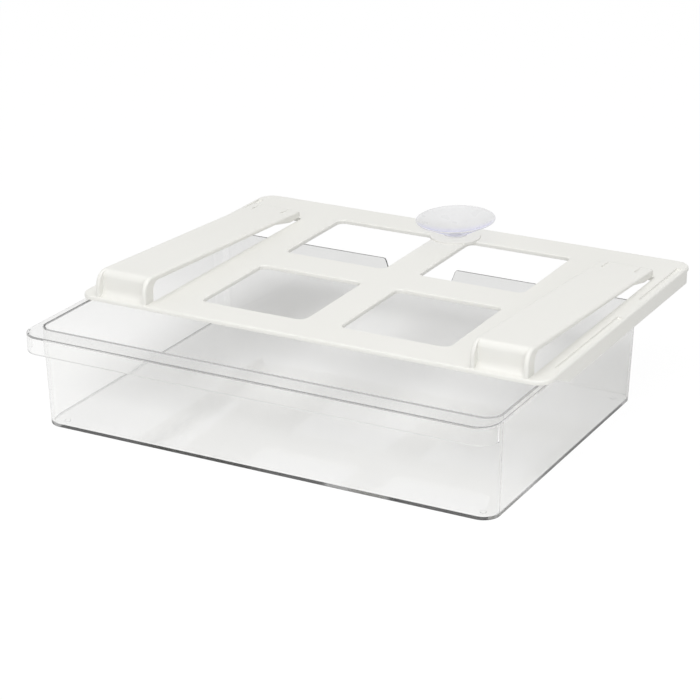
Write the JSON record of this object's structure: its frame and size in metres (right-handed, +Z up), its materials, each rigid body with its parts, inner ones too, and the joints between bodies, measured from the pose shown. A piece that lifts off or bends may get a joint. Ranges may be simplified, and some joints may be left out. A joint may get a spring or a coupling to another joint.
{
  "type": "fridge bin",
  "caption": "Clear pull-out bin hanging from a white under-shelf bracket with sprung clip arms and a suction cup.",
  "frame": {"origin": "centre of the bounding box in plan, on the surface that the bin stands on", "axes": "+X to the right, +Y towards the back, +Z up; the bin pulls out towards -Y"},
  "size_m": [0.3, 0.2888, 0.0788],
  "materials": {
    "bracket_plastic": "smooth satin moulding, warm white",
    "clear_plastic": "clear, polished",
    "clear_vinyl": "clear soft vinyl with a faint violet tint"
  },
  "bodies": {
    "bracket": {"frame_plate": "bracket_plastic", "rail_left": "bracket_plastic", "rail_right": "bracket_plastic"},
    "left_arm": {"arm_left": "bracket_plastic"},
    "right_arm": {"arm_right": "bracket_plastic"},
    "drawer": {"bin": "clear_plastic"},
    "cup": {"suction_cup": "clear_vinyl"}
  },
  "joints": [
    {"name": "bin_slide", "type": "slide", "parent": "bracket", "child": "drawer", "axis": [0, -1, 0], "range_m": [-0.0644, 0.08]},
    {"name": "left_arm_flex", "type": "hinge", "parent": "bracket", "child": "left_arm", "pos_m": [-0.1209, -0.07905, 0.0636], "axis": [1, 0, 0], "range_deg": [0, 4], "stiffness_Nm_per_rad": 2.5},
    {"name": "right_arm_flex", "type": "hinge", "parent": "bracket", "child": "right_arm", "pos_m": [0.1209, -0.07905, 0.0636], "axis": [1, 0, 0], "range_deg": [0, 4], "stiffness_Nm_per_rad": 2.5},
    {"name": "cup_turn", "type": "hinge", "parent": "bracket", "child": "cup", "pos_m": [0, 0.11945, 0.0648], "axis": [0, 0, 1], "continuous": true}
  ]
}
